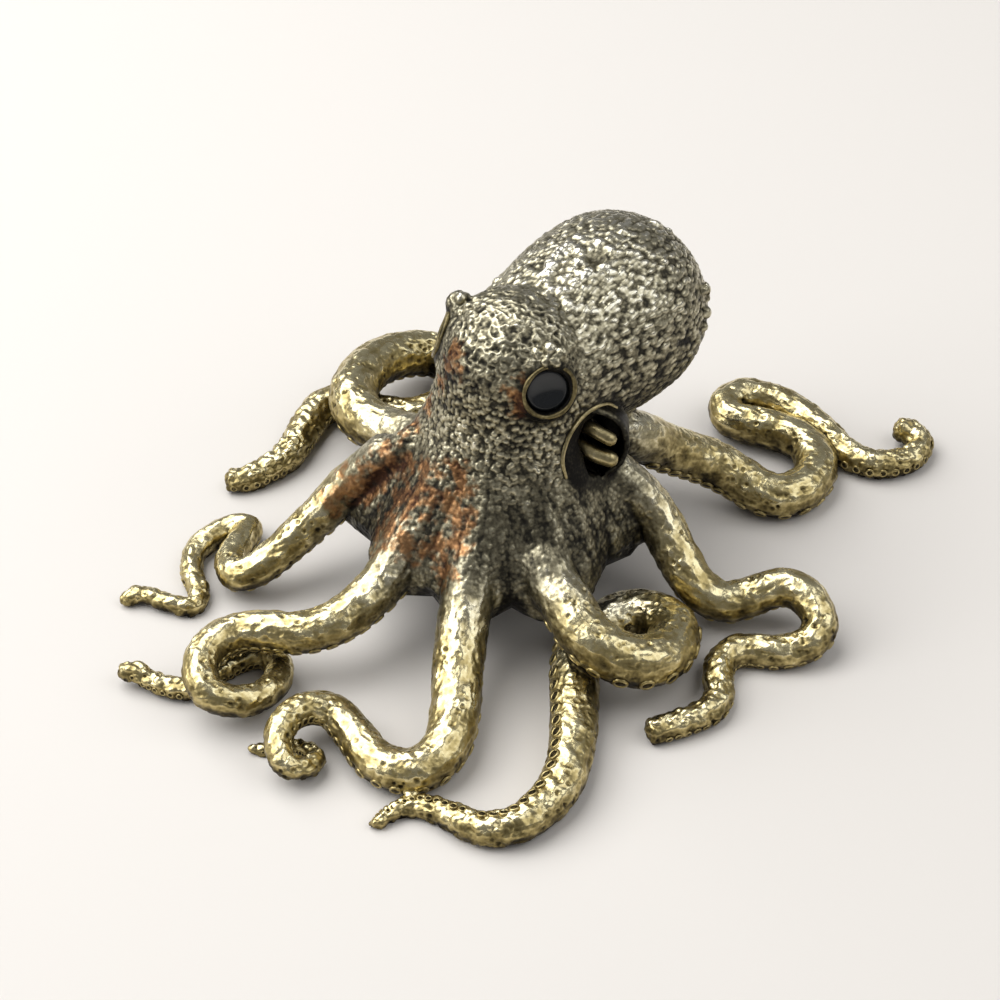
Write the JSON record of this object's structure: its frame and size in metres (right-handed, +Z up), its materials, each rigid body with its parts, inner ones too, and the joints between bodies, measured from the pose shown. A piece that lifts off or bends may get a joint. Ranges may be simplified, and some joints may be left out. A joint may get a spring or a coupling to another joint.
{
  "type": "octopus figurine",
  "caption": "Octopus ornament with a warty egg-shaped mantle, a hooded web, dark glass eyes and curling tapered arms that it rests on.",
  "frame": {"origin": "on the table, under the middle of the ornament's bounding box", "axes": "+Z up; the face looks along -Y and the mantle trails along +Y; +X is the animal's left side"},
  "size_m": [0.0618, 0.0786, 0.0311],
  "materials": {
    "aged_brass": "cast, with a dark brown patina in the hollows and pale worn high points",
    "worn_brass": "cast and rubbed bright, with a little brown patina left in the pits",
    "eye_glass": "polished, nearly black"
  },
  "bodies": {
    "root": {"head_and_web": "aged_brass", "mantle": "aged_brass", "siphon": "aged_brass", "arm_left_1": "worn_brass", "arm_left_2": "worn_brass", "arm_left_3": "worn_brass", "arm_left_4": "worn_brass", "arm_right_1": "worn_brass", "arm_right_2": "worn_brass", "arm_right_3": "worn_brass", "arm_right_4": "worn_brass", "left_eye": "eye_glass", "right_eye": "eye_glass"}
  },
  "joints": []
}
